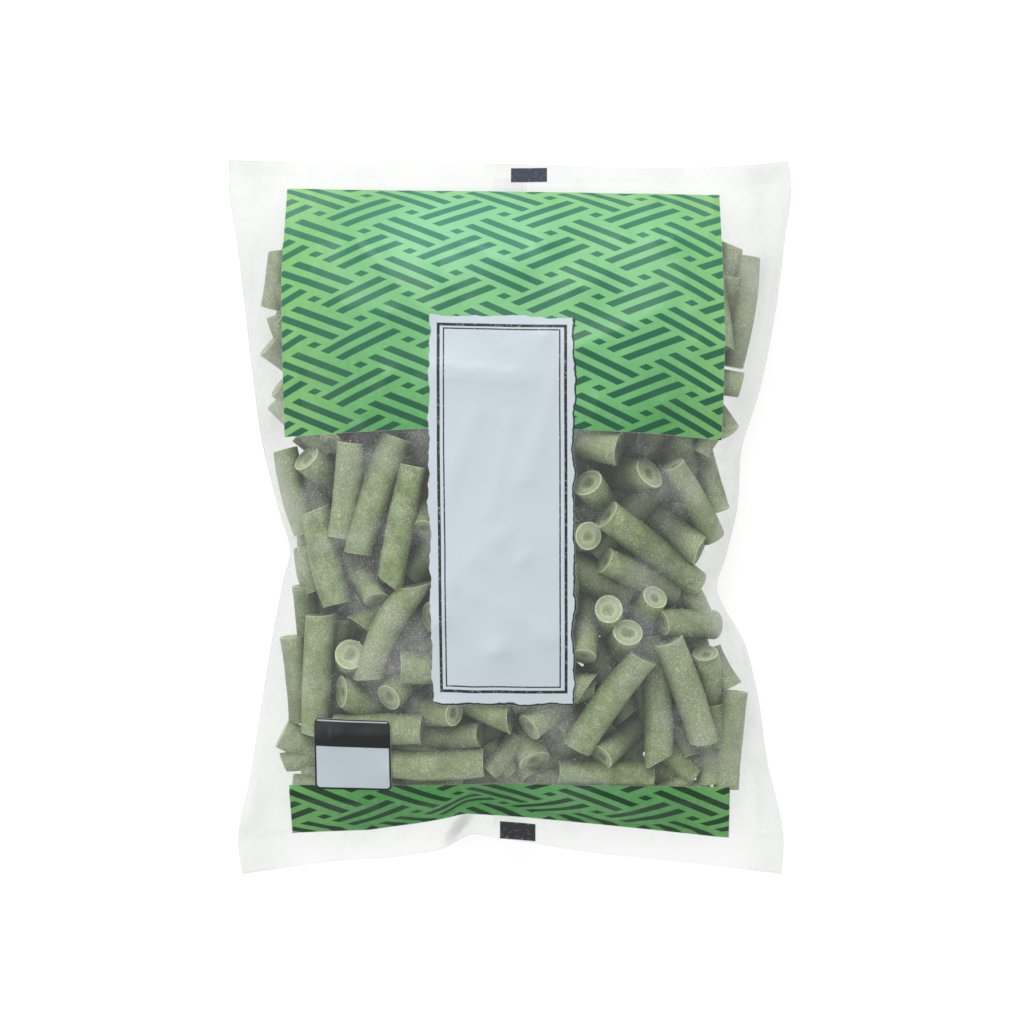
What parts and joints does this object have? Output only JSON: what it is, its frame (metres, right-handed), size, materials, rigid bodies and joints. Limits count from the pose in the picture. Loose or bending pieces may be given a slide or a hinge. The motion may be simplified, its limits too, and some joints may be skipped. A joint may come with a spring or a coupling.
{
  "type": "packet of frozen cut green beans",
  "caption": "Clear film pillow packet of frozen cut green beans, sealed at both ends, with a green fence-pattern print and a pale label panel, lying on its flat back.",
  "frame": {"origin": "on the surface the packet lies on, under the middle of its box", "axes": "+Y towards the top seal, +X to the right as the front is read, +Z out of the printed front"},
  "size_m": [0.2008, 0.2546, 0.0379],
  "materials": {
    "film": "clear film, slightly milky, printed on the front",
    "beans": "matte plant skin dusted with ice, pale cut ends"
  },
  "bodies": {
    "root": {"film_bag": "film", "cut_beans": "beans"}
  },
  "joints": []
}
